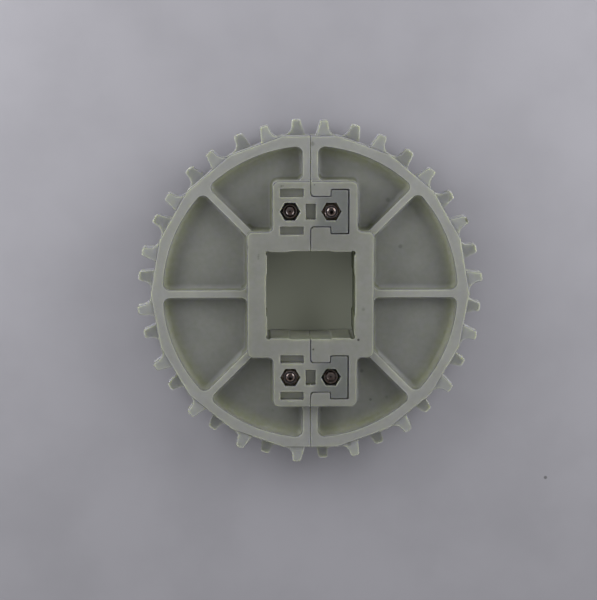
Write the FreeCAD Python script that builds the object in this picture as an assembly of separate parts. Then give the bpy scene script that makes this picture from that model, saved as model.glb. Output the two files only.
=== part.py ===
import FreeCAD, Part
import os
from math import cos, pi, radians, sin, sqrt, tan

# Split conveyor-belt sprocket, in millimetres.
# Frame: the square bore runs along Z, its centre at mid width is the origin.
# X points right and Y up as seen from the near side, which faces +Z.
# The two plastic halves are the same moulding, turned half a turn about Y.

# Shaft bore
BORE = 40.0
BORE_RELIEF_DEPTH = 0.45
BORE_RELIEF_LENGTH = 20.0
BORE_RELIEF_SLOPE = 0.8
BORE_CORNER_RADIUS = 1.15
BORE_CORNER_DEPTH = 0.5

# Hub and the parting gap between the halves
HUB_WIDTH = 25.0
HUB_ACROSS_X = 58.4
HUB_ACROSS_Y = 58.8
HUB_CORNER_RADIUS = 3.0
HUB_EDGE_RADIUS = 0.8
FACE_EDGE_RADIUS = 0.2
SPLIT_GAP = 0.35

# Clamp ears above and below the hub
EAR_REACH = 52.4
EAR_OWN_SIDE = 17.5
EAR_CORNER_RADIUS = 3.0
EAR_ROOT_RADIUS = 2.0

# Hammer-head tongue that locks one half into the other
TONGUE_NECK_LENGTH = 9.4
TONGUE_NECK_HEIGHT = 13.5
TONGUE_HEAD_LENGTH = 7.6
TONGUE_HEAD_HEIGHT = 19.7
TONGUE_CORNER_RADIUS = 0.65
TONGUE_ROOT_RADIUS = 1.6
TONGUE_NECK_CLEARANCE = 0.35
TONGUE_HEAD_CLEARANCE = 0.5
TONGUE_END_CLEARANCE = 0.6
POCKET_END_WALL = 4.05

# Rim, web and ribs
RIM_WIDTH = 15.6
RIM_INRADIUS = 72.6
RIM_WALL = 4.8
RIM_EDGE_RADIUS = 0.5
FACETS = 18
WEB_THICKNESS = 3.6
STRAIGHT_RIB = 3.9
DIAGONAL_RIB = 3.8
SPLIT_WALL = 3.5
CELL_CORNER_RADIUS = 3.0
CELL_FLOOR_RADIUS = 2.0
CELL_MOUTH_RADIUS = 0.5

# Teeth: one row on each side of mid width, a tooth to each facet
TOOTH_HEIGHT = 7.05
TOOTH_TIP_WIDTH = 3.9
TOOTH_ROOT_OFFSET = 2.4
TOOTH_TIP_OFFSET = 4.4
TOOTH_TIP_ROUND = 1.1
TOOTH_BACK_TAPER = 0.4
TOOTH_SET_BACK = 0.6
TOOTH_EDGE_RADIUS = 0.35

# Socket screws and lock nuts that clamp the ears
SCREW_X = 9.4
SCREW_TO_EAR_END = 13.95
SCREW_DIAMETER = 4.17
SCREW_STICK_OUT = 0.05
SCREW_END_CHAMFER = 0.5
SCREW_HEAD_DIAMETER = 6.86
SCREW_HEAD_HEIGHT = 4.17
SCREW_HEAD_ROUND = 0.4
SCREW_SOCKET_FLATS = 3.57
SCREW_SOCKET_DEPTH = 2.1
SCREW_HOLE_CLEARANCE = 0.35
NUT_FLATS = 7.94
NUT_HEX_HEIGHT = 3.3
NUT_HEIGHT = 5.2
NUT_CHAMFER = 0.45
NUT_COLLAR_DIAMETER = 7.2
NUT_COLLAR_ROUND = 0.7
NUT_MOUTH_DIAMETER = 5.5
NUT_THREAD_CLEARANCE = 0.1
INSERT_DIAMETER = 6.1
INSERT_HEIGHT = 1.5
INSERT_LIP = 0.35
HEX_POCKET_DEPTH = 5.6
HEX_POCKET_CLEARANCE = 0.2

# Core-outs that lighten the thick ears
SLOT_LENGTH = 10.75
SLOT_HEIGHT = 3.8
SLOT_SIDE_GAP = 3.2
SLOT_SPACING = 17.3
WINDOW_WIDTH = 4.65
WINDOW_HEIGHT = 7.3
CORE_DEPTH = 4.0
CORE_CORNER_RADIUS = 0.5

# Worked out from the sizes above
SCREW_Y = EAR_REACH - SCREW_TO_EAR_END
FACE_Z = HUB_WIDTH / 2
RIM_Z = RIM_WIDTH / 2
SPLIT_X = SPLIT_GAP / 2
CELL_RADIUS = RIM_INRADIUS - RIM_WALL
MID_RIM_RADIUS = RIM_INRADIUS - RIM_WALL / 2
FACET_ANGLE = 360 / FACETS
TONGUE_REACH = TONGUE_NECK_LENGTH + TONGUE_HEAD_LENGTH
EAR_POCKET_SIDE = TONGUE_REACH + TONGUE_END_CLEARANCE + POCKET_END_WALL
SEAT_Z = FACE_Z - HEX_POCKET_DEPTH
SCREW_LENGTH = 2 * SEAT_Z + NUT_HEIGHT + SCREW_STICK_OUT
TOOTH_TIP_Y = RIM_INRADIUS + TOOTH_HEIGHT
BEYOND = 2 * TOOTH_TIP_Y

# Two measures nearer than this are the same
SAME = 0.001

ORIGIN = FreeCAD.Vector(0, 0, 0)
ALONG_X = FreeCAD.Vector(1, 0, 0)
ALONG_Y = FreeCAD.Vector(0, 1, 0)
ALONG_Z = FreeCAD.Vector(0, 0, 1)


def point(x, y, z=0.0):
    return FreeCAD.Vector(x, y, z)


def corner_arc(before, corner, after, radius):
    """The two ends and the middle of the arc that rounds a corner of an outline."""
    back = (before - corner).normalize()
    ahead = (after - corner).normalize()
    half_angle = back.getAngle(ahead) / 2
    run = radius / tan(half_angle)
    middle = (back + ahead).normalize() * (radius / sin(half_angle) - radius)
    return corner + back * run, corner + middle, corner + ahead * run


def rounded_face(corners):
    """A flat face from (x, y, corner radius) points in order."""
    places = [point(x, y) for x, y, radius in corners]
    stretches = []
    for index, (x, y, radius) in enumerate(corners):
        if radius > 0:
            before = places[index - 1]
            after = places[(index + 1) % len(places)]
            stretches.append(corner_arc(before, places[index], after, radius))
        else:
            stretches.append((places[index],))
    edges = []
    for index, stretch in enumerate(stretches):
        start = stretches[index - 1][-1]
        if start.distanceToPoint(stretch[0]) > SAME:
            edges.append(Part.LineSegment(start, stretch[0]).toShape())
        if len(stretch) == 3:
            edges.append(Part.Arc(*stretch).toShape())
    return Part.Face(Part.Wire(edges))


def prism(face, low, high):
    """A flat face raised from one height to another."""
    raised = face.copy()
    raised.translate(point(0, 0, low))
    return raised.extrude(point(0, 0, high - low))


def rectangle(x_low, x_high, y_low, y_high, radius=0.0):
    return rounded_face([(x_low, y_low, radius), (x_high, y_low, radius),
                         (x_high, y_high, radius), (x_low, y_high, radius)])


def hexagon(flats):
    """A hexagon with corners to the left and right."""
    reach = flats / sqrt(3)
    corners = [(reach * cos(k * pi / 3), reach * sin(k * pi / 3), 0.0) for k in range(6)]
    return rounded_face(corners)


def middle_of(edge):
    return edge.valueAt((edge.FirstParameter + edge.LastParameter) / 2)


def edges_at_height(shape, height):
    """Edges that lie flat at one height."""
    return [edge for edge in shape.Edges
            if abs(edge.BoundBox.ZMin - height) < SAME and abs(edge.BoundBox.ZMax - height) < SAME]


def mirrored_up_down(shape):
    return shape.mirror(ORIGIN, ALONG_Y)


def half_turn(shape):
    """The same shape on the other half and the other side: half a turn about Y."""
    turned = shape.copy()
    turned.rotate(ORIGIN, ALONG_Y, 180)
    return turned


def rim_blank():
    """The faceted disc that the cells are sunk into, left of the parting gap."""
    reach = RIM_INRADIUS / cos(radians(FACET_ANGLE / 2))
    turns = [radians(FACET_ANGLE * (k + 0.5)) for k in range(FACETS)]
    disc = rounded_face([(reach * sin(turn), reach * cos(turn), 0.0) for turn in turns])
    disc = prism(disc, -RIM_Z, RIM_Z)
    rims = edges_at_height(disc, RIM_Z) + edges_at_height(disc, -RIM_Z)
    disc = disc.makeFillet(RIM_EDGE_RADIUS, rims)
    left = Part.makeBox(BEYOND, 2 * BEYOND, RIM_WIDTH, point(-SPLIT_X - BEYOND, -BEYOND, -RIM_Z))
    return disc.common(left)


def cell_plug(corners):
    """The space of one cell on the near side, right of the bore, above the web."""
    bottom = WEB_THICKNESS / 2
    plug = prism(rounded_face(corners), bottom, RIM_Z)
    plug = plug.common(Part.makeCylinder(CELL_RADIUS, RIM_WIDTH, ORIGIN, ALONG_Z))
    outer = [edge for edge in plug.Edges if is_outer_corner(edge)]
    plug = plug.makeFillet(CELL_CORNER_RADIUS, outer)
    return plug.makeFillet(CELL_FLOOR_RADIUS, edges_at_height(plug, bottom))


def is_outer_corner(edge):
    """True for an upright edge where a straight cell wall meets the round one."""
    box = edge.BoundBox
    upright = box.XLength < SAME and box.YLength < SAME
    return upright and abs(sqrt(box.XMin ** 2 + box.YMin ** 2) - CELL_RADIUS) < SAME


def side_cell():
    """The cell between the straight rib and the diagonal rib."""
    hub = HUB_ACROSS_X / 2
    rib = STRAIGHT_RIB / 2
    shift = DIAGONAL_RIB / sqrt(2)
    return cell_plug([
        (hub, rib, CELL_CORNER_RADIUS),
        (BEYOND, rib, 0.0),
        (BEYOND, BEYOND - shift, 0.0),
        (hub, hub - shift, CELL_CORNER_RADIUS)])


def end_cell(ear_side):
    """The cell between the diagonal rib and the wall along the parting gap."""
    shift = DIAGONAL_RIB / sqrt(2)
    hub = HUB_ACROSS_Y / 2
    wall = SPLIT_X + SPLIT_WALL
    return cell_plug([
        (hub - shift, hub, CELL_CORNER_RADIUS),
        (BEYOND - shift, BEYOND, 0.0),
        (wall, BEYOND, 0.0),
        (wall, EAR_REACH, CELL_CORNER_RADIUS),
        (ear_side, EAR_REACH, EAR_CORNER_RADIUS),
        (ear_side, hub, EAR_ROOT_RADIUS)])


def left_cells():
    """All cells of the left half, on its near and far sides."""
    near = [cell.mirror(ORIGIN, ALONG_X) for cell in (side_cell(), end_cell(EAR_OWN_SIDE))]
    far = [half_turn(cell) for cell in (side_cell(), end_cell(EAR_POCKET_SIDE))]
    return near + far + [mirrored_up_down(cell) for cell in near + far]


def rim_with_cells():
    """The left rim, web and ribs, with softened cell mouths."""
    body = rim_blank().cut(left_cells())
    mouths = [edge for height in (RIM_Z, -RIM_Z) for edge in edges_at_height(body, height)
              if is_mouth(edge)]
    return body.makeFillet(CELL_MOUTH_RADIUS, mouths)


def is_mouth(edge):
    """True for an edge round a cell, not on the rim's outside or the parting face."""
    middle = middle_of(edge)
    inside = sqrt(middle.x ** 2 + middle.y ** 2) < MID_RIM_RADIUS
    return inside and middle.x < -SPLIT_X - SPLIT_WALL / 2


def tongue_corners(neck_clearance, head_clearance, end_clearance, start):
    """Upper tongue outline from its root at x = start, clockwise; grown by the clearances."""
    neck = TONGUE_NECK_HEIGHT / 2 + neck_clearance
    head = TONGUE_HEAD_HEIGHT / 2 + head_clearance
    shoulder = TONGUE_NECK_LENGTH - neck_clearance
    end = TONGUE_REACH + end_clearance
    small = TONGUE_CORNER_RADIUS
    upper = [(start, neck, TONGUE_ROOT_RADIUS), (shoulder, neck, small), (shoulder, head, small),
             (end, head, small)]
    lower = [(x, -y, radius) for x, y, radius in reversed(upper)]
    return [(x, SCREW_Y + y, radius) for x, y, radius in upper + lower]


def ear_and_hub_corners(ear_side):
    """Outline of the hub block and both ears left of the parting gap, bottom to top."""
    hub_x = HUB_ACROSS_X / 2
    hub_y = HUB_ACROSS_Y / 2
    upper = [(-hub_x, hub_y, HUB_CORNER_RADIUS), (-ear_side, hub_y, EAR_ROOT_RADIUS),
             (-ear_side, EAR_REACH, EAR_CORNER_RADIUS), (-SPLIT_X, EAR_REACH, 0.0)]
    lower = [(x, -y, radius) for x, y, radius in reversed(upper)]
    return lower + upper


def near_layer():
    """Hub block, ears and tongues from mid width to the near face."""
    upper = tongue_corners(0.0, 0.0, 0.0, -SPLIT_X)
    lower = [(x, -y, radius) for x, y, radius in reversed(upper)]
    layer = prism(rounded_face(ear_and_hub_corners(EAR_OWN_SIDE) + upper + lower), 0.0, FACE_Z)
    return soften_face(layer, FACE_Z)


def far_layer():
    """Hub block and ears from mid width to the far face, before the pockets are cut."""
    layer = prism(rounded_face(ear_and_hub_corners(EAR_POCKET_SIDE)), -FACE_Z, 0.0)
    return soften_face(layer, -FACE_Z)


def soften_face(layer, height):
    """Round the outer edges of a hub face, but not the parting face or the tongues."""
    outer = [edge for edge in edges_at_height(layer, height) if middle_of(edge).x < -SPLIT_X - SAME]
    return layer.makeFillet(HUB_EDGE_RADIUS, outer)


def tongue_pockets():
    """The spaces in the left half's far layer that take the other half's tongues."""
    corners = tongue_corners(TONGUE_NECK_CLEARANCE, TONGUE_HEAD_CLEARANCE, TONGUE_END_CLEARANCE, SPLIT_X)
    flare = 2 * TONGUE_ROOT_RADIUS
    top = (SPLIT_X, corners[0][1] + flare, 0.0)
    bottom = (SPLIT_X, corners[-1][1] - flare, 0.0)
    back = [(-TONGUE_ROOT_RADIUS, bottom[1], 0.0), (-TONGUE_ROOT_RADIUS, top[1], 0.0)]
    outline = rounded_face([top] + corners + [bottom] + back)
    pocket = half_turn(prism(outline, 0.0, HUB_WIDTH))
    return [pocket, mirrored_up_down(pocket)]


def bore_tool():
    """The square bore: each side is relieved along its middle, each corner is eased."""
    side = BORE / 2
    deep = side + BORE_RELIEF_DEPTH
    long_end = BORE_RELIEF_LENGTH / 2
    short_end = long_end - BORE_RELIEF_SLOPE
    one_side = [(-side, side), (-long_end, side), (-short_end, deep), (short_end, deep), (long_end, side)]
    corners = []
    for quarter in range(4):
        turn = radians(-90 * quarter)
        corners += [(x * cos(turn) - y * sin(turn), x * sin(turn) + y * cos(turn), 0.0)
                    for x, y in one_side]
    square = prism(rounded_face(corners), -HUB_WIDTH, HUB_WIDTH)
    inset = side + BORE_CORNER_DEPTH - BORE_CORNER_RADIUS
    eases = [Part.makeCylinder(BORE_CORNER_RADIUS, 2 * HUB_WIDTH, point(x, y, -HUB_WIDTH))
             for x in (-inset, inset) for y in (-inset, inset)]
    return square.fuse(eases)


def core_outs():
    """Blind slots beside the screws and a window in each tongue, on the near face."""
    floor = FACE_Z - CORE_DEPTH
    slot_right = -SLOT_SIDE_GAP
    faces = []
    for sign in (-1, 1):
        middle = SCREW_Y + sign * SLOT_SPACING / 2
        faces.append(rectangle(slot_right - SLOT_LENGTH, slot_right, middle - SLOT_HEIGHT / 2,
                               middle + SLOT_HEIGHT / 2, CORE_CORNER_RADIUS))
    faces.append(rectangle(-WINDOW_WIDTH / 2, WINDOW_WIDTH / 2, SCREW_Y - WINDOW_HEIGHT / 2,
                           SCREW_Y + WINDOW_HEIGHT / 2, CORE_CORNER_RADIUS))
    upper = [prism(face, floor, HUB_WIDTH) for face in faces]
    return upper + [mirrored_up_down(core) for core in upper]


def screw_cuts():
    """Hexagonal pockets in the near face, each with a screw hole down to mid width."""
    cuts = []
    for x in (-SCREW_X, SCREW_X):
        for y in (-SCREW_Y, SCREW_Y):
            pocket = prism(hexagon(NUT_FLATS + HEX_POCKET_CLEARANCE), SEAT_Z, HUB_WIDTH)
            radius = (SCREW_DIAMETER + SCREW_HOLE_CLEARANCE) / 2
            hole = Part.makeCylinder(radius, HUB_WIDTH, point(0, 0, -HUB_WIDTH / 2))
            for cut in (pocket, hole):
                cut.translate(point(x, y))
                cuts.append(cut)
    return cuts


def tooth(turn):
    """One tooth of the near row. Its straight flank faces the middle of the facet."""
    tip_start = TOOTH_TIP_OFFSET
    tip_end = TOOTH_TIP_OFFSET + TOOTH_TIP_WIDTH
    vertex = RIM_INRADIUS * tan(radians(FACET_ANGLE / 2))
    back = tip_end + TOOTH_BACK_TAPER
    sweep = vertex - back
    face = rounded_face([
        (TOOTH_ROOT_OFFSET, MID_RIM_RADIUS, 0.0),
        (TOOTH_ROOT_OFFSET, RIM_INRADIUS, 0.0),
        (tip_start, TOOTH_TIP_Y, TOOTH_TIP_ROUND),
        (tip_end, TOOTH_TIP_Y, TOOTH_TIP_ROUND),
        (back, RIM_INRADIUS, sweep),
        (vertex, RIM_INRADIUS, 0.0),
        (vertex, MID_RIM_RADIUS, 0.0)])
    front = RIM_Z - TOOTH_SET_BACK
    solid = prism(face, 0.0, front)
    outline = [edge for edge in edges_at_height(solid, front) if middle_of(edge).y > RIM_INRADIUS + SAME]
    solid = solid.makeFillet(TOOTH_EDGE_RADIUS, outline)
    solid.rotate(ORIGIN, ALONG_Z, -turn)
    return solid


def left_teeth():
    """Near and far teeth of the left half."""
    near = [tooth(180 + FACET_ANGLE * k) for k in range(FACETS // 2)]
    far = [half_turn(tooth(FACET_ANGLE * k)) for k in range(FACETS // 2)]
    return near + far


def left_half():
    body = rim_with_cells().fuse([near_layer(), far_layer()] + left_teeth()).removeSplitter()
    body = body.cut(tongue_pockets() + [bore_tool()] + core_outs() + screw_cuts())
    body = body.removeSplitter().Solids[0]
    return soften_cuts(body)


def soften_cuts(body):
    """Break the sharp edges where pockets, slots and the bore meet the hub faces."""
    sharp = [edge for height in (FACE_Z, -FACE_Z) for edge in edges_at_height(body, height)
             if has_upright_wall(body, edge)]
    return body.makeFillet(FACE_EDGE_RADIUS, sharp)


def has_upright_wall(body, edge):
    """True where one of the two faces that meet at an edge stands upright."""
    faces = body.ancestorsOfType(edge, Part.Face)
    return any(is_upright(face, middle_of(edge)) for face in faces)


def is_upright(face, place):
    u, v = face.Surface.parameter(place)
    return abs(face.normalAt(u, v).z) < SAME


def socket_screw():
    """A socket-head screw with its seat at z = 0 and its shank pointing down."""
    head = Part.makeCylinder(SCREW_HEAD_DIAMETER / 2, SCREW_HEAD_HEIGHT)
    head = head.makeFillet(SCREW_HEAD_ROUND, edges_at_height(head, SCREW_HEAD_HEIGHT))
    shank = Part.makeCylinder(SCREW_DIAMETER / 2, SCREW_LENGTH, point(0, 0, -SCREW_LENGTH))
    shank = shank.makeChamfer(SCREW_END_CHAMFER, edges_at_height(shank, -SCREW_LENGTH))
    socket = prism(hexagon(SCREW_SOCKET_FLATS), SCREW_HEAD_HEIGHT - SCREW_SOCKET_DEPTH, HUB_WIDTH)
    return head.fuse(shank).cut(socket).removeSplitter()


def lock_nut():
    """A lock nut with its seat at z = 0 and its collar up."""
    hexagonal = prism(hexagon(NUT_FLATS), 0.0, NUT_HEX_HEIGHT)
    reach = NUT_FLATS / sqrt(3)
    cone = Part.makeCone(reach + NUT_HEX_HEIGHT - NUT_CHAMFER, reach - NUT_CHAMFER, NUT_HEX_HEIGHT)
    collar = Part.makeCylinder(NUT_COLLAR_DIAMETER / 2, NUT_HEIGHT)
    collar = collar.makeFillet(NUT_COLLAR_ROUND, edges_at_height(collar, NUT_HEIGHT))
    bore_radius = (SCREW_DIAMETER + NUT_THREAD_CLEARANCE) / 2
    bore = Part.makeCylinder(bore_radius, NUT_HEIGHT)
    seat = Part.makeCylinder(INSERT_DIAMETER / 2, INSERT_HEIGHT,
                             point(0, 0, NUT_HEIGHT - INSERT_LIP - INSERT_HEIGHT))
    mouth = Part.makeCylinder(NUT_MOUTH_DIAMETER / 2, NUT_HEIGHT, point(0, 0, NUT_HEIGHT - INSERT_LIP))
    return hexagonal.common(cone).fuse(collar).cut([bore, seat, mouth]).removeSplitter()


def lock_insert():
    """The plastic ring that the lock nut's collar holds."""
    low = NUT_HEIGHT - INSERT_LIP - INSERT_HEIGHT
    ring = Part.makeCylinder(INSERT_DIAMETER / 2, INSERT_HEIGHT, point(0, 0, low))
    bore_radius = (SCREW_DIAMETER + NUT_THREAD_CLEARANCE) / 2
    return ring.cut(Part.makeCylinder(bore_radius, INSERT_HEIGHT, point(0, 0, low)))


def fastener_set(x, y, head_near):
    """A screw, its nut and the nut's ring at one place in the ears."""
    screw = socket_screw()
    nut = lock_nut()
    insert = lock_insert()
    screw.translate(point(0, 0, SEAT_Z))
    for piece in (nut, insert):
        piece.rotate(ORIGIN, ALONG_Y, 180)
        piece.translate(point(0, 0, -SEAT_Z))
    pieces = [screw, nut, insert]
    if not head_near:
        pieces = [half_turn(piece) for piece in pieces]
    for piece in pieces:
        piece.translate(point(x, y))
    return pieces


def export(name, shape):
    shape.exportStep("parts/" + name + ".step")


def main():
    os.makedirs("parts", exist_ok=True)
    left = left_half()
    export("left_half", left)
    export("right_half", half_turn(left))
    places = {"upper_left": (-SCREW_X, SCREW_Y, True), "upper_right": (SCREW_X, SCREW_Y, False),
              "lower_left": (-SCREW_X, -SCREW_Y, False), "lower_right": (SCREW_X, -SCREW_Y, True)}
    for place, (x, y, head_near) in places.items():
        screw, nut, insert = fastener_set(x, y, head_near)
        export("screw_" + place, screw)
        export("locknut_" + place, nut)
        export("locknut_insert_" + place, insert)


main()
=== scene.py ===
import math

import bpy
from mathutils import Matrix, Vector


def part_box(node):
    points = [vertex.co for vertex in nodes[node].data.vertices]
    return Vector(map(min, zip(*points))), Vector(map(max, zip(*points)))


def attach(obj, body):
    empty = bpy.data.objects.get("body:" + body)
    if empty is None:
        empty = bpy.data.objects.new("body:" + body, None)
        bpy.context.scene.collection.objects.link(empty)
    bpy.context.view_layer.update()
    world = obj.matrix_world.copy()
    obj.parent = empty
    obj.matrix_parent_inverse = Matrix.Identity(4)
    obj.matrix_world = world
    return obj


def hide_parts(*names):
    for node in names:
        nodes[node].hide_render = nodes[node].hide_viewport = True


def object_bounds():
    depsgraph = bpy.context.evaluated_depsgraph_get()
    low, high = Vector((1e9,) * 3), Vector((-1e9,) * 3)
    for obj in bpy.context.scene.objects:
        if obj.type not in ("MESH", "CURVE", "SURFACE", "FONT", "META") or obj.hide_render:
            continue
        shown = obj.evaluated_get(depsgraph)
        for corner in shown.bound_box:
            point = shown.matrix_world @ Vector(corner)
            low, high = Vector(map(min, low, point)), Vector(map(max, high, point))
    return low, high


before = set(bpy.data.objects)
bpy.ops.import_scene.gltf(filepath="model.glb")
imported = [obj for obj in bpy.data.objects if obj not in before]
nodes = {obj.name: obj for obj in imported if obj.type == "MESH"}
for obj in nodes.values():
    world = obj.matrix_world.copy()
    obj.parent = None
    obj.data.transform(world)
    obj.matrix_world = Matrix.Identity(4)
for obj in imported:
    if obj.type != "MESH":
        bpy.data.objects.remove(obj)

# Split belt sprocket: looks, light and camera round the fixed frame. Lengths are in metres.
cad_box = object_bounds()
MM = 0.001
FULL_TURN = 2 * math.pi
HEXAGON_TURN = math.radians(30)
PLACES = ("upper_left", "upper_right", "lower_left", "lower_right")
HEADS_NEAR = ("upper_left", "lower_right")

# Camera, fitted to the edges in the photograph
CAMERA_PLACE = Vector((-21.245, 111.250, 730.278)) * MM
CAMERA_TURN = Vector((0.156644, 0.021534, 0.003861))
FOCAL_PX = 1585.53
LONG_SIDE_PX = 600
SENSOR_WIDTH_MM = 36.0

# Socket screws
HEAD_HEIGHT = 4.17 * MM
HEAD_TOP_ROUND = 0.25 * MM
HEAD_TOP_FLAT = 3.12 * MM
KNURL_COUNT = 44
KNURL_DEPTH = 0.035
KNURL_TOP = 3.45 * MM
KNURL_FOOT = 0.45 * MM
SHANK_RADIUS = 2.085 * MM
THREAD_PITCH = 0.794 * MM
THREAD_DEPTH = 0.33 * MM
THREAD_START = 1.6 * MM
TIP_CHAMFER = 0.62 * MM
TIP_CHAMFER_RISE = 0.36 * MM
TIP_CUP_RADIUS = 1.2 * MM
TIP_CUP_FLOOR_RADIUS = 0.96 * MM
TIP_CUP_DEPTH = 0.5 * MM
SOCKET_FLATS = 3.57 * MM
SOCKET_DEPTH = 1.1 * MM
SOCKET_CONE = 1.2 * MM
SOCKET_CONE_OVERLAP = 0.01 * MM

# Lock nuts and their rings
NUT_FLATS = 7.94 * MM
NUT_HEX_HEIGHT = 3.3 * MM
NUT_HEIGHT = 5.2 * MM
NUT_TOP_BEVEL = 0.55 * MM
NUT_BORE_RADIUS = 2.14 * MM
NUT_LEAD_IN = 0.4 * MM
COLLAR_RADIUS = 3.6 * MM
COLLAR_EDGE = 0.15 * MM
COLLAR_MOUTH_RADIUS = 3.15 * MM
COLLAR_LIP_RADIUS = 2.7 * MM
LIP_HEIGHT = 0.4 * MM
LIP_SLOPE = 0.28 * MM
RING_SEAT_RADIUS = 3.05 * MM
RING_HEIGHT = 1.5 * MM
RING_CROWN = 0.12 * MM
RING_EDGE_BREAK = 0.03 * MM

# How the fasteners' models are turned and smoothed
TURN_STEPS = 88
EDGE_BREAK = 0.09 * MM
EDGE_SEGMENTS = 3
EDGE_ANGLE = math.radians(30)
SMOOTH_ANGLE = math.radians(35)
WELD = 0.001 * MM

# The moulding's heights above and below mid width
WEB_HALF = 1.8 * MM
SLOT_FLOOR = 8.5 * MM
FACE_HALF = 12.5 * MM

# Where the plastic's painted light and shade change: by height, by distance from the axis, across and
# along
WEB_RISE = (2.2 * MM, 7.2 * MM)
EDGE_RISE = (6.6 * MM, 6.9 * MM)
FACE_RISE = (8.6 * MM, 11.6 * MM)
BORE_TOP = (10.9 * MM, 12.9 * MM)
RIM_FOOT = (61.5 * MM, 67.8 * MM)
RIM_INSIDE = (67.2 * MM, 68.6 * MM)
RIM_OUTSIDE = (69.3 * MM, 72.4 * MM)
TOOTH_START = (73.0 * MM, 73.6 * MM)
SPLIT_SIDE = (0.2 * MM, 0.25 * MM)
TONGUE_FADE = 6.0 * MM
BORE_SIDE = (20.55 * MM, 20.85 * MM)
BORE_FLOOR = (20.55 * MM, 21.35 * MM)
EAR_SIDE = (17.1 * MM, 17.3 * MM)
EAR_START = (26.0 * MM, 26.2 * MM)
EAR_END = (52.6 * MM, 52.8 * MM)
HUB_TO_EAR_END = (29.4 * MM, 52.4 * MM)
SLOT_FLOOR_NEAR = 0.3 * MM

# The block of hub and ears, and how far the painted shade in the hollow round it reaches
HUB_HALF = 29.4 * MM
EAR_HALF = 18.9 * MM
EAR_REACH = 52.4 * MM
HOLLOW = (2.2 * MM, 2.8 * MM)

# How far a face leans, as the upright part of its direction
UPRIGHT = (0.1, 0.3)
LEVEL = (0.8, 0.98)

# How the painted light in the split and on the bore's ends grows, as a gain and a start
SPLIT_LIGHT = (0.65, 0.35)
BORE_END_LIGHT = (0.85, 0.15)

# Colours of the plastic: its own colour in the ribs, then painted light and shade laid over it part by
# part
RIB_COLOUR = (0.292, 0.296, 0.288, 1.0)
# painted shade: the hub's and ears' top faces darker than the ribs
FACE_PAINTED_SHADE = (0.245, 0.249, 0.231, 1.0)
# painted shade on the cells' thin web, standing in for light lost through it
WEB_PAINTED_SHADE = (0.247, 0.254, 0.236, 1.0)
# painted light on the floors of the ears' slots and windows
SLOT_PAINTED_LIGHT = (0.57, 0.58, 0.52, 1.0)
# painted shade on the tongue's flat faces past the split
TONGUE_PAINTED_SHADE = (0.163, 0.171, 0.166, 1.0)
# painted shade on the rounded top edges, dimming their highlights
EDGE_PAINTED_SHADE = (0.094, 0.096, 0.114, 1.0)
# painted light: the teeth paler, standing in for light through them
TOOTH_PAINTED_LIGHT = (0.288, 0.294, 0.294, 1.0)
# painted light: an olive band on the web along the rim's inside, for light through the rim
FOOT_PAINTED_LIGHT = (0.340, 0.355, 0.262, 1.0)
# painted light on the upright walls in the ears: pockets, slots and the tongue's gap
GAP_PAINTED_LIGHT = (0.215, 0.220, 0.192, 1.0)
# painted shade: darker olive upright walls, and the hollow where the web meets hub and ears
WALL_PAINTED_SHADE = (0.165, 0.174, 0.125, 1.0)
# painted shade: the bore's walls dark olive
BORE_SIDE_PAINTED_SHADE = (0.086, 0.094, 0.062, 1.0)
# painted light on the bore's two end walls, growing towards the floor
BORE_END_PAINTED_LIGHT = (0.36, 0.37, 0.31, 1.0)
# painted light: the split's walls pale, as if lit through the plastic
SPLIT_PAINTED_LIGHT = (0.72, 0.76, 0.60, 1.0)

# The painted light and shade on the moulding's parts, each laid over those before it
PAINTED_LIGHT_AND_SHADE = (
    ("Web", WEB_PAINTED_SHADE),
    ("Face", FACE_PAINTED_SHADE),
    ("Tooth", TOOTH_PAINTED_LIGHT),
    ("Edge", EDGE_PAINTED_SHADE),
    ("Wall", WALL_PAINTED_SHADE),
    ("Foot", FOOT_PAINTED_LIGHT),
    ("Gap", GAP_PAINTED_LIGHT),
    ("Bore_side", BORE_SIDE_PAINTED_SHADE),
    ("Bore_end", BORE_END_PAINTED_LIGHT),
    ("Slot", SLOT_PAINTED_LIGHT),
    ("Split", SPLIT_PAINTED_LIGHT))

# Colours of marks, fasteners and floor, with painted light for the floor inside the bore
SCUFF_COLOUR = (0.33, 0.34, 0.35, 1.0)
SPECK_COLOUR = (0.028, 0.027, 0.022, 1.0)
STEEL_COLOUR = (0.14, 0.131, 0.129, 1.0)
STEEL_STAIN = (0.095, 0.05, 0.038, 1.0)
RING_COLOUR = (0.006, 0.006, 0.008, 1.0)
RING_DUST = (0.02, 0.02, 0.022, 1.0)
FLOOR_COLOUR = (0.335, 0.330, 0.362, 1.0)
FLOOR_SPOT = (0.308, 0.304, 0.333, 1.0)
# painted light: a paler green floor inside the bore, for light through the milky plastic
BORE_FLOOR_PAINTED_LIGHT = (0.50, 0.52, 0.44, 1.0)

# Surface patterns, as repeats per metre
PATCH_SCALE = 60.0
MOTTLE_SCALE = 420.0
STREAK_SCALE = 420.0
DIRT_SCALE = 170.0
PLASTIC_GRAIN_SCALE = 1900.0
STAIN_SCALE = 900.0
STEEL_STREAK_SCALE = 3200.0
STEEL_GRAIN_SCALE = 6000.0
DUST_SCALE = 1200.0
PAPER_SCALE = 22.0

# How fine the patterns are and where they start and end, of a noise from 0 to 1
PATCH_DETAILS = (("Detail", 3.0), ("Roughness", 0.55))
PATCH_LIMITS = (0.3, 0.7)
GRAIN_DETAIL = ("Detail", 2.0)
COARSE_GRAIN_SCALE = 0.12
COARSE_GRAIN_WEIGHT = 2.0
STREAK_DETAILS = (("Detail", 4.0), ("Roughness", 0.7))
STREAK_LIMITS = (0.60, 0.72)
STREAK_PATCH_SCALE = 0.09
STREAK_PATCH_LOW = 0.72
STREAK_PATCH_HIGH = 0.74
SPECK_LIMITS = (0.10, 0.24)
MARK_LIMITS = (0.55, 1.2)
PAPER_DETAIL = ("Detail", 4.0)
PAPER_LIMITS = (0.35, 0.75)

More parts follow.
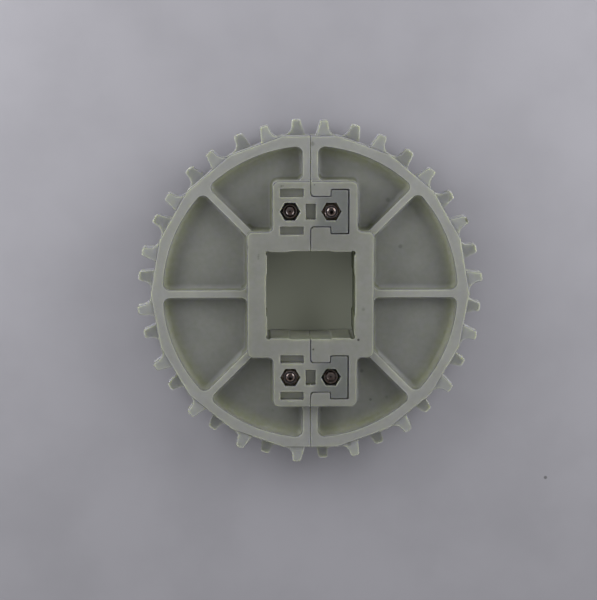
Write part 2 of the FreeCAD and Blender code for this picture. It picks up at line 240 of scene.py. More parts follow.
# How strong the patterns are, as a gain and a start where there are two numbers
PATCH_SHADE = (-0.09, 1.04)
MOTTLE_SHADE = -0.05
MOTTLE_TINT = (0.4, 0.8)
SCUFF_STRENGTH = 0.35
DIRT_STRENGTH = 0.35
DIRT_SHARE = 0.045
STAIN_STRENGTH = 0.8
DUST_STRENGTH = 0.4
FLOOR_SPECK_STRENGTH = 0.6
STREAK_STRETCH = (1.0, 0.22, 1.0)
STREAK_SPREAD = 0.16
STEEL_STREAK_STRETCH = (1.0, 0.2, 1.0)
STEEL_STREAK_SPREAD = 0.3

# Roughness, also as a gain and a start where there are two numbers
PLASTIC_ROUGHNESS = (0.10, 0.48)
SCUFF_ROUGHNESS = 0.4
EDGE_ROUGHNESS = 0.35
STEEL_ROUGHNESS = (0.1, 0.13)
RING_ROUGHNESS = (0.5, 0.35)
PAPER_ROUGHNESS = 0.9

# How far light goes into the plastic, how little it shines, and the grain's strength and depth
SCATTER_REACH = 5.0 * MM
SCATTER_COLOURS = (1.0, 1.06, 0.6)
DULL_SHINE = 0.2
PLASTIC_GRAIN = (0.12, 0.05 * MM)
STEEL_GRAIN = (0.05, 0.01 * MM)

# The right half's pattern is taken from another place than the left half's
LEFT_SHIFT = (0.0, 0.0, 0.0)
RIGHT_SHIFT = (0.37, 0.11, 0.53)

# Dark specks and small smears, and one broad patch of painted shade on the right half, each with its
# place, its radius and how dark it is
LEFT_SPECKS = (
    ((-29.2 * MM, 18.4 * MM, 12.0 * MM), 0.45 * MM, 0.9),
    ((-23.9 * MM, 17.0 * MM, FACE_HALF), 0.5 * MM, 0.25),
    ((-23.9 * MM, 17.9 * MM, FACE_HALF), 0.5 * MM, 0.35),
    ((-23.8 * MM, 18.8 * MM, FACE_HALF), 0.5 * MM, 0.25),
    ((-13.3 * MM, 50.2 * MM, FACE_HALF), 0.45 * MM, 0.5),
    ((-12.5 * MM, 50.3 * MM, FACE_HALF), 0.35 * MM, 0.35))
RIGHT_SPECKS_AND_SHADE = (
    # painted shade: a broad darker patch on the right half's face beside the bore
    ((9.0 * MM, 26.0 * MM, FACE_HALF), 13.0 * MM, 0.13),
    ((1.2 * MM, -25.2 * MM, FACE_HALF), 0.5 * MM, 0.9),
    ((22.0 * MM, -20.8 * MM, FACE_HALF), 0.65 * MM, 0.9),
    ((1.7 * MM, 50.7 * MM, FACE_HALF), 0.35 * MM, 0.6),
    ((28.5 * MM, -51.3 * MM, WEB_HALF), 0.7 * MM, 0.45),
    ((72.3 * MM, 34.1 * MM, 7.0 * MM), 1.4 * MM, 0.7))
FLOOR_SPECK = (114.6 * MM, -93.6 * MM, -12.5 * MM)
FLOOR_SPECK_RADIUS = 0.9 * MM

# Floor and light
FLOOR_SIZE = 14.0
ROOM_COLOUR = (1.0, 1.0, 1.0, 1.0)
ROOM_LOW = 0.35
ROOM_HIGH = 0.65
ROOM_STRENGTH = 0.85
ROOM_OVERHEAD = 0.38
LENS_DARK_START = 0.955
LENS_DARK_END = 0.985
LAMP_REACH = 0.42
LAMP_SIZE = 0.3
LAMP_RISE = math.radians(21)
LAMP_TURN = math.radians(60)
LEFT_POWER = 1.23
RIGHT_POWER = 1.18


def fill(tree, node, inputs):
    """Gives a node's inputs their links or values."""
    for name, value in inputs:
        if isinstance(value, bpy.types.NodeSocket):
            tree.links.new(value, node.inputs[name])
        else:
            node.inputs[name].default_value = value


def output_of(tree, kind, inputs, settings=(), output=0):
    """Adds a node, fills its inputs and gives one of its outputs."""
    node = tree.nodes.new(kind)
    for name, value in settings:
        setattr(node, name, value)
    fill(tree, node, inputs)
    return node.outputs[output]


def calculate(tree, operation, first, second=0.0, third=0.0):
    inputs = ((0, first), (1, second), (2, third))
    return output_of(tree, "ShaderNodeMath", inputs, (("operation", operation),))


def product(tree, first, *others):
    """Several values multiplied with each other."""
    for other in others:
        first = calculate(tree, "MULTIPLY", first, other)
    return first


def graded(tree, value, gain, start):
    """A value stretched by a gain and lifted by a start."""
    return calculate(tree, "MULTIPLY_ADD", value, gain, start)


def between(tree, value, low, high):
    """Rises smoothly from 0 at the low end to 1 at the high end."""
    inputs = (("Value", value), ("From Min", low), ("From Max", high))
    return output_of(tree, "ShaderNodeMapRange", inputs, (("interpolation_type", "SMOOTHSTEP"),))


def below(tree, value, low, high):
    """Falls smoothly from 1 at the low end to 0 at the high end."""
    return calculate(tree, "SUBTRACT", 1.0, between(tree, value, low, high))


def part_of(tree, vector, axis):
    """One part of a vector, with its sign."""
    return output_of(tree, "ShaderNodeSeparateXYZ", ((0, vector),), (), axis)


def sizes_of(tree, vector):
    """The three parts of a vector, without their signs."""
    return [calculate(tree, "ABSOLUTE", part_of(tree, vector, axis)) for axis in "XYZ"]


def blended(tree, factor, first, second):
    """A colour between two colours."""
    inputs = (("Factor", factor), (6, first), (7, second))
    return output_of(tree, "ShaderNodeMix", inputs, (("data_type", "RGBA"),), 2)


def noise(tree, vector, scale, *details):
    inputs = (("Vector", vector), ("Scale", scale)) + details
    return output_of(tree, "ShaderNodeTexNoise", inputs)


def new_group(name, inputs, outputs):
    """An empty node group, with the nodes that stand for its inputs and outputs."""
    tree = bpy.data.node_groups.new(name, "ShaderNodeTree")
    for label, kind in inputs:
        tree.interface.new_socket(label, in_out="INPUT", socket_type="NodeSocket" + kind)
    for label, kind in outputs:
        tree.interface.new_socket(label, in_out="OUTPUT", socket_type="NodeSocket" + kind)
    given = tree.nodes.new("NodeGroupInput").outputs
    return tree, given, tree.nodes.new("NodeGroupOutput").inputs


def placed_group(tree, group, inputs):
    """Places a node group in a material and gives all its outputs."""
    node = tree.nodes.new("ShaderNodeGroup")
    node.node_tree = group
    fill(tree, node, inputs)
    return node.outputs


def from_group(tree, group, vector, *inputs):
    """Places a node group in a material and gives its one output."""
    return placed_group(tree, group, (("Vector", vector),) + inputs)[0]


def cloud_group():
    """Soft irregular patches, from 0 to 1."""
    inputs = (("Vector", "Vector"), ("Scale", "Float"))
    tree, given, wanted = new_group("soft_patches", inputs, (("Mask", "Float"),))
    clouds = noise(tree, given["Vector"], given["Scale"], *PATCH_DETAILS)
    tree.links.new(between(tree, clouds, *PATCH_LIMITS), wanted["Mask"])
    return tree


def grain_group():
    """A fine uneven surface, as a height."""
    inputs = (("Vector", "Vector"), ("Scale", "Float"))
    tree, given, wanted = new_group("fine_grain", inputs, (("Height", "Float"),))
    fine = noise(tree, given["Vector"], given["Scale"], GRAIN_DETAIL)
    coarse = noise(tree, given["Vector"], product(tree, given["Scale"], COARSE_GRAIN_SCALE))
    tree.links.new(graded(tree, coarse, COARSE_GRAIN_WEIGHT, fine), wanted["Height"])
    return tree


def scuff_group():
    """Short rubbed streaks in patches, from 0 to 1. Stretch sets how long they are."""
    inputs = (("Vector", "Vector"), ("Scale", "Float"), ("Stretch", "Vector"), ("Spread", "Float"))
    tree, given, wanted = new_group("rubbed_streaks", inputs, (("Mask", "Float"),))
    drawn = output_of(tree, "ShaderNodeVectorMath", ((0, given["Vector"]), (1, given["Stretch"])),
                      (("operation", "MULTIPLY"),))
    streak = noise(tree, drawn, given["Scale"], *STREAK_DETAILS)
    patch = noise(tree, given["Vector"], product(tree, given["Scale"], STREAK_PATCH_SCALE))
    low = calculate(tree, "SUBTRACT", STREAK_PATCH_LOW, given["Spread"])
    fine = between(tree, streak, *STREAK_LIMITS)
    where = between(tree, patch, low, STREAK_PATCH_HIGH)
    tree.links.new(product(tree, fine, where), wanted["Mask"])
    return tree


def speck_group():
    """Small scattered specks, from 0 to 1. Only a few of the cells hold one."""
    inputs = (("Vector", "Vector"), ("Scale", "Float"), ("Share", "Float"))
    tree, given, wanted = new_group("scattered_specks", inputs, (("Mask", "Float"),))
    settings = (("feature", "F1"),)
    cell = (("Vector", given["Vector"]), ("Scale", given["Scale"]))
    near = output_of(tree, "ShaderNodeTexVoronoi", cell, settings, "Distance")
    colour = output_of(tree, "ShaderNodeTexVoronoi", cell, settings, "Color")
    few = calculate(tree, "LESS_THAN", part_of(tree, colour, "X"), given["Share"])
    tree.links.new(product(tree, below(tree, near, *SPECK_LIMITS), few), wanted["Mask"])
    return tree


def spot_group():
    """A round mark of one radius at one place, from 0 to 1."""
    inputs = (("Vector", "Vector"), ("Place", "Vector"), ("Radius", "Float"))
    tree, given, wanted = new_group("round_mark", inputs, (("Mask", "Float"),))
    away = output_of(tree, "ShaderNodeVectorMath", ((0, given["Vector"]), (1, given["Place"])),
                     (("operation", "DISTANCE"),), "Value")
    share = calculate(tree, "DIVIDE", away, given["Radius"])
    tree.links.new(below(tree, share, *MARK_LIMITS), wanted["Mask"])
    return tree


def distance_from_axis(tree, across, along):
    squares = calculate(tree, "ADD", product(tree, across, across), product(tree, along, along))
    return calculate(tree, "SQRT", squares)


def ear_mask(tree, across, along):
    """The ears above and below the hub, without their side walls."""
    past_foot = product(tree, between(tree, along, *EAR_START), below(tree, along, *EAR_END))
    return product(tree, below(tree, across, *EAR_SIDE), past_foot)


def bore_masks(tree, across, along, height, level):
    """The bore's walls, which get painted shade, and of these the two at the ends, whose painted light
    grows towards the floor.
    """
    in_bore = below(tree, calculate(tree, "MAXIMUM", across, along), *BORE_SIDE)
    bore_wall = product(tree, in_bore, below(tree, height, *BORE_TOP))
    end_wall = calculate(tree, "GREATER_THAN", along, across)
    lit_end = graded(tree, below(tree, level, -FACE_HALF, FACE_HALF), *BORE_END_LIGHT)
    return bore_wall, product(tree, bore_wall, product(tree, end_wall, lit_end))


def split_mask(tree, across, along, radius, upright):
    """The two walls of the split, where light is painted, brighter past the hub and fading out at the
    rim's outside.
    """
    split_wall = product(tree, upright, below(tree, across, *SPLIT_SIDE))
    past_hub = graded(tree, between(tree, along, *HUB_TO_EAR_END), *SPLIT_LIGHT)
    return product(tree, split_wall, past_hub, below(tree, radius, *RIM_OUTSIDE))


def hollow_shade_mask(tree, across, along, rounded, low_down):
    """The rounded hollow where the web meets the hub and its ears, where shade is painted."""
    past_ear = calculate(tree, "MAXIMUM", calculate(tree, "SUBTRACT", across, EAR_HALF),
                         calculate(tree, "SUBTRACT", along, EAR_REACH))
    past_square = calculate(tree, "SUBTRACT", calculate(tree, "MAXIMUM", across, along), HUB_HALF)
    past_block = calculate(tree, "MINIMUM", past_ear, past_square)
    return product(tree, rounded, low_down, below(tree, past_block, *HOLLOW))


def painted_light_and_shade_group():
    """How much each place of the moulding belongs to each part given painted light and shade, 0 to 1."""
    parts = [part for part, painted_colour in PAINTED_LIGHT_AND_SHADE]
    tree, given, wanted = new_group("painted_light_and_shade_places", (("Vector", "Vector"), ("Normal", "Vector")),
                                    [(part, "Float") for part in parts])
    across, along, height = sizes_of(tree, given["Vector"])
    level = part_of(tree, given["Vector"], "Z")
    radius = distance_from_axis(tree, across, along)
    flatness = sizes_of(tree, given["Normal"])[2]
    upright = below(tree, flatness, *UPRIGHT)
    rounded = product(tree, between(tree, flatness, *UPRIGHT), below(tree, flatness, *LEVEL))
    inside = below(tree, radius, *RIM_INSIDE)
    past_rim = between(tree, radius, *TOOTH_START)
    low_down = below(tree, height, *WEB_RISE)
    at_edge = calculate(tree, "MAXIMUM", between(tree, height, *EDGE_RISE), past_rim)
    at_floor = product(tree, calculate(tree, "COMPARE", height, SLOT_FLOOR, SLOT_FLOOR_NEAR),
                       between(tree, flatness, *LEVEL))
    in_ear = ear_mask(tree, across, along)
    hollow = hollow_shade_mask(tree, across, along, rounded, low_down)
    bore_side, bore_end = bore_masks(tree, across, along, height, level)
    masks = {
        "Web": product(tree, low_down, inside),
        "Face": between(tree, height, *FACE_RISE),
        "Tooth": past_rim,
        "Edge": product(tree, rounded, at_edge),
        "Wall": product(tree, calculate(tree, "MAXIMUM", upright, hollow), inside),
        "Foot": product(tree, low_down, inside, between(tree, radius, *RIM_FOOT)),
        "Gap": product(tree, upright, in_ear),
        "Bore_side": bore_side,
        "Bore_end": bore_end,
        "Slot": product(tree, at_floor, in_ear),
        "Split": split_mask(tree, across, along, radius, upright)}
    for part in parts:
        tree.links.new(masks[part], wanted[part])
    return tree


def make_groups():
    return {"cloud": cloud_group(), "grain": grain_group(), "scuff": scuff_group(), "speck": speck_group(),
            "spot": spot_group(), "tone": painted_light_and_shade_group()}


def new_material(name):
    """A material with a Principled shader wired to its output."""
    material = bpy.data.materials.new(name)
    material.use_nodes = True
    tree = material.node_tree
    tree.nodes.clear()
    output = tree.nodes.new("ShaderNodeOutputMaterial")
    shader = tree.nodes.new("ShaderNodeBsdfPrincipled")
    tree.links.new(shader.outputs["BSDF"], output.inputs["Surface"])
    return material, tree, shader


def dress(piece, material):
    """Gives a piece one material all over."""
    piece.data.materials.clear()
    piece.data.materials.append(material)


def own_place(tree):
    """The piece's own coordinates."""
    return output_of(tree, "ShaderNodeTexCoord", (), (), "Object")


def add_grain(tree, shader, groups, place, scale, strength, depth):
    """A fine unevenness on a surface."""
    height = from_group(tree, groups["grain"], place, ("Scale", scale))
    inputs = (("Height", height), ("Strength", strength), ("Distance", depth))
    tree.links.new(output_of(tree, "ShaderNodeBump", inputs), shader.inputs["Normal"])


def colour_with_painted_light(tree, groups, own, tongue_side):
    """The plastic's colour with its painted light and shade from part to part, and the outputs that say
    which part is where.
    """
    facing = output_of(tree, "ShaderNodeTexCoord", (), (), "Normal")
    tone = placed_group(tree, groups["tone"], (("Vector", own), ("Normal", facing)))
    colour = RIB_COLOUR
    for part, painted_colour in PAINTED_LIGHT_AND_SHADE:
        colour = blended(tree, tone[part], colour, painted_colour)
    # painted shade on the tongue's flat faces past the split
    past_split = between(tree, part_of(tree, own, "X"), *tongue_side)
    flat_tongue = product(tree, past_split, calculate(tree, "SUBTRACT", 1.0, tone["Wall"]))
    return blended(tree, flat_tongue, colour, TONGUE_PAINTED_SHADE), tone


def marks(tree, groups, own, moved, specks):
    """Fine grime specks, and the specks and smears at their places, among them a broad patch of painted
    shade on the right half.
    """
    dirt_and_shade = from_group(tree, groups["speck"], moved, ("Scale", DIRT_SCALE), ("Share", DIRT_SHARE))
    dirt_and_shade = product(tree, dirt_and_shade, DIRT_STRENGTH)
    for place, radius, strength in specks:
        spot = from_group(tree, groups["spot"], own, ("Place", place), ("Radius", radius))
        dirt_and_shade = calculate(tree, "MAXIMUM", dirt_and_shade, product(tree, spot, strength))
    return dirt_and_shade


def plastic(name, groups, shift, tongue_side, specks):
    """Milky moulded plastic, in its own lighter colour on ribs and rim, with painted shade on the thin
    web, faces, tongue, edges and walls, olive painted shade on the bore's sides, and painted light on
    teeth, the web along the rim, slots, gaps, split and bore ends.
    """
    material, tree, shader = new_material(name)
    own = own_place(tree)
    moved = output_of(tree, "ShaderNodeMapping", (("Vector", own), ("Location", shift)))
    colour, tone = colour_with_painted_light(tree, groups, own, tongue_side)
    patches = from_group(tree, groups["cloud"], moved, ("Scale", PATCH_SCALE))
    mottle = from_group(tree, groups["cloud"], moved, ("Scale", MOTTLE_SCALE))
    shade = graded(tree, mottle, MOTTLE_SHADE, graded(tree, patches, *PATCH_SHADE))
    tint = graded(tree, mottle, *MOTTLE_TINT)
    inputs = (("Saturation", tint), ("Value", shade), ("Color", colour))
    colour = output_of(tree, "ShaderNodeHueSaturation", inputs)
    scuffs = from_group(tree, groups["scuff"], moved, ("Scale", STREAK_SCALE), ("Stretch", STREAK_STRETCH),
                        ("Spread", STREAK_SPREAD))
    scuffs = product(tree, scuffs, SCUFF_STRENGTH)
    colour = blended(tree, scuffs, colour, SCUFF_COLOUR)
    colour = blended(tree, marks(tree, groups, own, moved, specks), colour, SPECK_COLOUR)
    tree.links.new(colour, shader.inputs["Base Color"])
    rough = graded(tree, scuffs, SCUFF_ROUGHNESS, graded(tree, patches, *PLASTIC_ROUGHNESS))
    tree.links.new(graded(tree, tone["Edge"], EDGE_ROUGHNESS, rough), shader.inputs["Roughness"])
    add_grain(tree, shader, groups, moved, PLASTIC_GRAIN_SCALE, *PLASTIC_GRAIN)
    shader.inputs["Subsurface Weight"].default_value = 1.0
    shader.inputs["Subsurface Radius"].default_value = SCATTER_COLOURS
    shader.inputs["Subsurface Scale"].default_value = SCATTER_REACH
    shader.inputs["Specular IOR Level"].default_value = DULL_SHINE
    return material


def steel(groups):
    """Stainless steel with fine rubbing marks and brown stains."""
    material, tree, shader = new_material("stainless_steel")
    own = own_place(tree)
    patches = from_group(tree, groups["cloud"], own, ("Scale", STAIN_SCALE))
    stain = product(tree, patches, STAIN_STRENGTH)
    tree.links.new(blended(tree, stain, STEEL_COLOUR, STEEL_STAIN), shader.inputs["Base Color"])
    scuffs = from_group(tree, groups["scuff"], own, ("Scale", STEEL_STREAK_SCALE),
                        ("Stretch", STEEL_STREAK_STRETCH), ("Spread", STEEL_STREAK_SPREAD))
    tree.links.new(graded(tree, scuffs, *STEEL_ROUGHNESS), shader.inputs["Roughness"])
    add_grain(tree, shader, groups, own, STEEL_GRAIN_SCALE, *STEEL_GRAIN)
    shader.inputs["Metallic"].default_value = 1.0
    return material


def ring_plastic(groups):
    """Dark plastic of the lock rings, dusted in patches."""
    material, tree, shader = new_material("lock_ring_plastic")
    own = own_place(tree)
    dust = product(tree, from_group(tree, groups["cloud"], own, ("Scale", DUST_SCALE)), DUST_STRENGTH)
    tree.links.new(blended(tree, dust, RING_COLOUR, RING_DUST), shader.inputs["Base Color"])
    tree.links.new(graded(tree, dust, *RING_ROUGHNESS), shader.inputs["Roughness"])
    return material


def deselect():
    bpy.ops.object.select_all(action="DESELECT")


def close_and_face_out():
    """Merges doubled points and turns all faces outwards, in edit mode."""
    bpy.ops.mesh.select_all(action="SELECT")
    bpy.ops.mesh.remove_doubles(threshold=WELD)
    bpy.ops.mesh.normals_make_consistent(inside=False)


def turned(name, outline):
    """A turned piece: an outline of (radius, height) points spun round Z, closed at the axis."""
    deselect()
    bpy.ops.mesh.primitive_plane_add(size=MM)
    piece = bpy.context.object
    piece.name = name
    bpy.ops.object.mode_set(mode="EDIT")
    bpy.ops.mesh.select_all(action="SELECT")
    bpy.ops.mesh.merge(type="CENTER")
    corners = [Vector((radius, 0.0, height)) for radius, height in outline]
    bpy.ops.transform.translate(value=corners[0])
    for last, corner in zip(corners, corners[1:]):
        bpy.ops.mesh.extrude_region_move(TRANSFORM_OT_translate={"value": corner - last})
    bpy.ops.mesh.select_all(action="SELECT")
    bpy.ops.mesh.spin(steps=TURN_STEPS, angle=FULL_TURN, center=(0, 0, 0), axis=(0, 0, 1))
    close_and_face_out()
    bpy.ops.object.mode_set(mode="OBJECT")
    return piece


def cut_with(piece, tool, operation):
    """Joins, cuts or trims a piece with a tool, which is then removed."""
    deselect()
    bpy.context.view_layer.objects.active = piece
    cut = piece.modifiers.new("cut", "BOOLEAN")
    cut.operation = operation
    cut.object = tool
    cut.solver = "EXACT"
    bpy.ops.object.modifier_apply(modifier=cut.name)
    bpy.data.objects.remove(tool)


def break_edges(piece, width):
    """Rounds a piece's sharp edges a little and shades the rest smooth."""
    deselect()
    piece.select_set(True)
    bpy.context.view_layer.objects.active = piece
    bevel = piece.modifiers.new("edges", "BEVEL")
    bevel.width = width
    bevel.segments = EDGE_SEGMENTS
    bevel.limit_method = "ANGLE"
    bevel.angle_limit = EDGE_ANGLE
    bpy.ops.object.modifier_apply(modifier=bevel.name)
    bpy.ops.object.shade_smooth_by_angle(angle=SMOOTH_ANGLE)
    flats = piece.modifiers.new("flats", "WEIGHTED_NORMAL")
    flats.keep_sharp = True
    bpy.ops.object.modifier_apply(modifier=flats.name)


def hexagon_bar(flats, low, high):
    """A hexagonal bar with corners to the left and right."""
    deselect()
    bpy.ops.mesh.primitive_cylinder_add(vertices=6, radius=flats / math.sqrt(3), depth=high - low,
                                        location=(0, 0, (low + high) / 2), rotation=(0, 0, HEXAGON_TURN))
    bar = bpy.context.object
    bpy.ops.object.transform_apply(location=True, rotation=True, scale=True)
    return bar


def socket_cone():
    """The point that a drill leaves under the socket."""
    deselect()
    middle = HEAD_HEIGHT - SOCKET_DEPTH - SOCKET_CONE / 2 + SOCKET_CONE_OVERLAP
    bpy.ops.mesh.primitive_cone_add(vertices=TURN_STEPS // 2, radius1=0.0, radius2=SOCKET_FLATS / 2,
                                    depth=SOCKET_CONE, location=(0, 0, middle))
    return bpy.context.object


def thread_outline(start, end):
    """Points down a rolled thread, crest and root by turns."""
    points = []
    height = start
    while height - THREAD_PITCH > end:
        points.append((SHANK_RADIUS, height))
        points.append((SHANK_RADIUS - THREAD_DEPTH, height - THREAD_PITCH / 2))
        height -= THREAD_PITCH
    points.append((SHANK_RADIUS, height))
    points.append((SHANK_RADIUS, end))
    return points


def knurl(screw, head_radius):
    """Draws every second line of the head's side inwards."""
    step = FULL_TURN / (2 * KNURL_COUNT)
    deselect()
    bpy.context.view_layer.objects.active = screw
    for point in screw.data.vertices:
        turn = math.atan2(point.co.y, point.co.x)
        on_side = math.hypot(point.co.x, point.co.y) > head_radius - WELD
        banded = KNURL_FOOT - WELD < point.co.z < KNURL_TOP + WELD
        point.select = bool(on_side and banded and round(turn / step) % 2)
    bpy.ops.object.mode_set(mode="EDIT")
    bpy.context.tool_settings.mesh_select_mode = (True, False, False)
    bpy.ops.transform.resize(value=(1 - KNURL_DEPTH, 1 - KNURL_DEPTH, 1), center_override=(0, 0, 0))
    bpy.ops.object.mode_set(mode="OBJECT")


def screw_model(head_radius, length):
    """A socket screw standing on its seat at z = 0, head up."""
    shank_end = HEAD_HEIGHT - length
    outline = [(0.0, HEAD_HEIGHT), (HEAD_TOP_FLAT, HEAD_HEIGHT),
               (head_radius - HEAD_TOP_ROUND / 2, HEAD_HEIGHT - HEAD_TOP_ROUND / 3),
               (head_radius, HEAD_HEIGHT - HEAD_TOP_ROUND), (head_radius, KNURL_TOP),
               (head_radius, KNURL_FOOT), (head_radius, 0.0), (SHANK_RADIUS, 0.0)]
    outline += thread_outline(-THREAD_START, shank_end + TIP_CHAMFER_RISE)
    outline += [(SHANK_RADIUS - TIP_CHAMFER, shank_end), (TIP_CUP_RADIUS, shank_end),
                (TIP_CUP_FLOOR_RADIUS, shank_end + TIP_CUP_DEPTH), (0.0, shank_end + TIP_CUP_DEPTH)]
    screw = turned("screw_model", outline)
    knurl(screw, head_radius)
    socket = hexagon_bar(SOCKET_FLATS, HEAD_HEIGHT - SOCKET_DEPTH, HEAD_HEIGHT + SOCKET_DEPTH)
    cut_with(screw, socket, "DIFFERENCE")
    cut_with(screw, socket_cone(), "DIFFERENCE")
    break_edges(screw, EDGE_BREAK)
    return screw


def nut_trim():
    """The turned outline that a nut's hexagonal corners are bevelled to."""
    reach = NUT_FLATS / math.sqrt(3)
    return turned("nut_trim", [
        (0.0, 0.0), (reach - NUT_TOP_BEVEL / 2, 0.0), (reach + MM, NUT_TOP_BEVEL),
        (reach + MM, NUT_HEX_HEIGHT - NUT_TOP_BEVEL), (reach - NUT_TOP_BEVEL, NUT_HEX_HEIGHT),
        (0.0, NUT_HEX_HEIGHT)])


def nut_collar():
    """The round collar on top of a nut, with its lip turned in."""
    lip = NUT_HEIGHT - LIP_HEIGHT
    return turned("collar", [
        (0.0, NUT_HEX_HEIGHT / 2), (COLLAR_RADIUS, NUT_HEX_HEIGHT / 2),
        (COLLAR_RADIUS, NUT_HEIGHT - COLLAR_EDGE), (COLLAR_RADIUS - COLLAR_EDGE, NUT_HEIGHT),
        (COLLAR_MOUTH_RADIUS, NUT_HEIGHT), (COLLAR_MOUTH_RADIUS - COLLAR_EDGE, NUT_HEIGHT - LIP_SLOPE),
        (COLLAR_LIP_RADIUS, lip), (0.0, lip)])


def nut_hollow():
    """What is cut out of a nut: its bore with a lead-in, and the ring's seat."""
    lip = NUT_HEIGHT - LIP_HEIGHT
    seat = lip - RING_HEIGHT
    mouth = COLLAR_LIP_RADIUS - WELD
    return turned("hollow", [
        (0.0, -MM), (NUT_BORE_RADIUS + NUT_LEAD_IN, -MM), (NUT_BORE_RADIUS + NUT_LEAD_IN, 0.0),
        (NUT_BORE_RADIUS, NUT_LEAD_IN), (NUT_BORE_RADIUS, seat), (RING_SEAT_RADIUS, seat),
        (RING_SEAT_RADIUS, lip), (mouth, lip), (mouth, NUT_HEIGHT + MM), (0.0, NUT_HEIGHT + MM)])


def nut_model():
    """A lock nut standing on its seat at z = 0, collar up."""
    nut = hexagon_bar(NUT_FLATS, 0.0, NUT_HEX_HEIGHT)
    nut.name = "nut_model"
    cut_with(nut, nut_trim(), "INTERSECT")
    cut_with(nut, nut_collar(), "UNION")
    cut_with(nut, nut_hollow(), "DIFFERENCE")
    break_edges(nut, EDGE_BREAK)
    return nut


def ring_model():
    """The plastic ring in a lock nut's collar, cut by the screw's thread."""
    high = NUT_HEIGHT - LIP_HEIGHT
    low = high - RING_HEIGHT
    middle = (NUT_BORE_RADIUS + RING_SEAT_RADIUS) / 2
    outer = RING_SEAT_RADIUS - WELD
    ring = turned("ring_model", [
        (NUT_BORE_RADIUS, low), (outer, low), (outer, high - RING_CROWN), (middle, high),
        (NUT_BORE_RADIUS + RING_CROWN, high - RING_CROWN / 2), (NUT_BORE_RADIUS, high - 2 * RING_CROWN),
        (NUT_BORE_RADIUS + RING_CROWN, high - THREAD_PITCH), (NUT_BORE_RADIUS, high - 1.5 * THREAD_PITCH),
        (NUT_BORE_RADIUS, low)])
    break_edges(ring, RING_EDGE_BREAK)
    return ring


def copy_to(model, name, node, material, centre, foot, flipped):
    """A copy of a model, with a mesh of its own, at a fastener's place. It stands for the CAD node."""
    piece = bpy.data.objects.new(name, model.data.copy())
    bpy.context.scene.collection.objects.link(piece)
    deselect()
    piece.select_set(True)
    bpy.context.view_layer.objects.active = piece
    if flipped:
        bpy.ops.transform.rotate(value=math.pi, orient_axis="Y", center_override=(0, 0, 0))
    bpy.ops.transform.translate(value=(centre.x, centre.y, foot))
    bpy.ops.object.transform_apply(location=True, rotation=True, scale=True)
    dress(piece, material)
    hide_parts(node)
    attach(piece, "root")


def add_fasteners(metal, ring_material):
    """Finished screws, nuts and rings in the places of the plain ones."""
    low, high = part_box("screw_upper_left")
    screw = screw_model((high.x - low.x) / 2, high.z - low.z)
    nut = nut_model()
    ring = ring_model()
    for place in PLACES:
        near = place in HEADS_NEAR
        low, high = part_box("screw_" + place)
        centre = (low + high) / 2
        seat = high.z - HEAD_HEIGHT if near else low.z + HEAD_HEIGHT
        copy_to(screw, "socket_screw_" + place, "screw_" + place, metal,
                centre, seat, not near)
        nut_low, nut_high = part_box("locknut_" + place)
        foot = nut_high.z if near else nut_low.z
        copy_to(nut, "lock_nut_" + place, "locknut_" + place, metal,
                centre, foot, near)
        copy_to(ring, "lock_ring_" + place, "locknut_insert_" + place, ring_material,
                centre, foot, near)
    for model in (screw, nut, ring):
        bpy.data.objects.remove(model)


def add_floor(groups):
    """A pale paper floor, with painted light inside the bore: a paler green tint that stands in for light
    through the milky plastic.
    """
    deselect()
    bpy.ops.mesh.primitive_plane_add(size=FLOOR_SIZE, location=(0, 0, cad_box[0].z))
    floor = bpy.context.object
    floor.name = "floor"
    bpy.ops.object.transform_apply(location=True, rotation=True, scale=True)
    material, tree, shader = new_material("floor_paper")
    own = own_place(tree)
    soft = noise(tree, own, PAPER_SCALE, PAPER_DETAIL)
    paper = blended(tree, between(tree, soft, *PAPER_LIMITS), FLOOR_COLOUR, FLOOR_SPOT)
    across, along = sizes_of(tree, own)[:2]
    in_bore = below(tree, calculate(tree, "MAXIMUM", across, along), *BORE_FLOOR)
    # painted light on the floor inside the bore
    paper = blended(tree, in_bore, paper, BORE_FLOOR_PAINTED_LIGHT)
    speck = from_group(tree, groups["spot"], own, ("Place", FLOOR_SPECK), ("Radius", FLOOR_SPECK_RADIUS))
    speck = product(tree, speck, FLOOR_SPECK_STRENGTH)
    tree.links.new(blended(tree, speck, paper, SPECK_COLOUR), shader.inputs["Base Color"])
    shader.inputs["Roughness"].default_value = PAPER_ROUGHNESS
    shader.inputs["Specular IOR Level"].default_value = DULL_SHINE
    dress(floor, material)


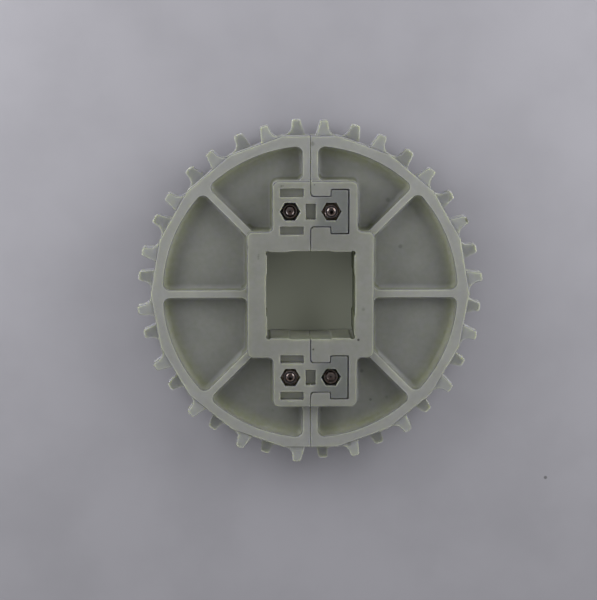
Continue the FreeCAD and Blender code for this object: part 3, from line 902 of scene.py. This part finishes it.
def add_room():
    """Soft light all round that is stronger low down, with the dark of the lens straight above."""
    world = bpy.data.worlds.new("room")
    bpy.context.scene.world = world
    world.use_nodes = True
    tree = world.node_tree
    background = tree.nodes["Background"]
    background.inputs["Color"].default_value = ROOM_COLOUR
    direction = output_of(tree, "ShaderNodeTexCoord", (), (), "Generated")
    height = part_of(tree, direction, "Z")
    soft = graded(tree, below(tree, height, ROOM_LOW, ROOM_HIGH), ROOM_STRENGTH, ROOM_OVERHEAD)
    lens = below(tree, height, LENS_DARK_START, LENS_DARK_END)
    tree.links.new(product(tree, soft, lens), background.inputs["Strength"])


def add_lamp(name, turn, power):
    """A soft square lamp low above the top of the picture, aimed at the sprocket."""
    lamp = bpy.data.lights.new(name, "AREA")
    lamp.shape = "SQUARE"
    lamp.size = LAMP_SIZE
    lamp.energy = power
    holder = bpy.data.objects.new(name, lamp)
    across = LAMP_REACH * math.cos(LAMP_RISE)
    holder.location = (across * math.sin(turn), across * math.cos(turn), LAMP_REACH * math.sin(LAMP_RISE))
    holder.rotation_euler = (-holder.location).to_track_quat("-Z", "Y").to_euler()
    bpy.context.scene.collection.objects.link(holder)


def add_camera():
    data = bpy.data.cameras.new("camera")
    data.sensor_width = SENSOR_WIDTH_MM
    data.lens = FOCAL_PX * SENSOR_WIDTH_MM / LONG_SIDE_PX
    camera = bpy.data.objects.new("camera", data)
    to_camera = (Matrix.Rotation(CAMERA_TURN.z, 3, "Z") @ Matrix.Rotation(CAMERA_TURN.y, 3, "Y")
                 @ Matrix.Rotation(CAMERA_TURN.x, 3, "X"))
    camera.matrix_world = Matrix.Translation(CAMERA_PLACE) @ to_camera.transposed().to_4x4()
    bpy.context.scene.collection.objects.link(camera)
    bpy.context.scene.camera = camera


def main():
    groups = make_groups()
    left = plastic("milky_plastic_left", groups, LEFT_SHIFT, (0.0, TONGUE_FADE), LEFT_SPECKS)
    right = plastic("milky_plastic_right", groups, RIGHT_SHIFT, (0.0, -TONGUE_FADE), RIGHT_SPECKS_AND_SHADE)
    dress(nodes["left_half"], left)
    dress(nodes["right_half"], right)
    add_fasteners(steel(groups), ring_plastic(groups))
    add_floor(groups)
    add_room()
    add_lamp("lamp_left", -LAMP_TURN, LEFT_POWER)
    add_lamp("lamp_right", LAMP_TURN, RIGHT_POWER)
    add_camera()
    bpy.context.scene.view_settings.view_transform = "Standard"


main()
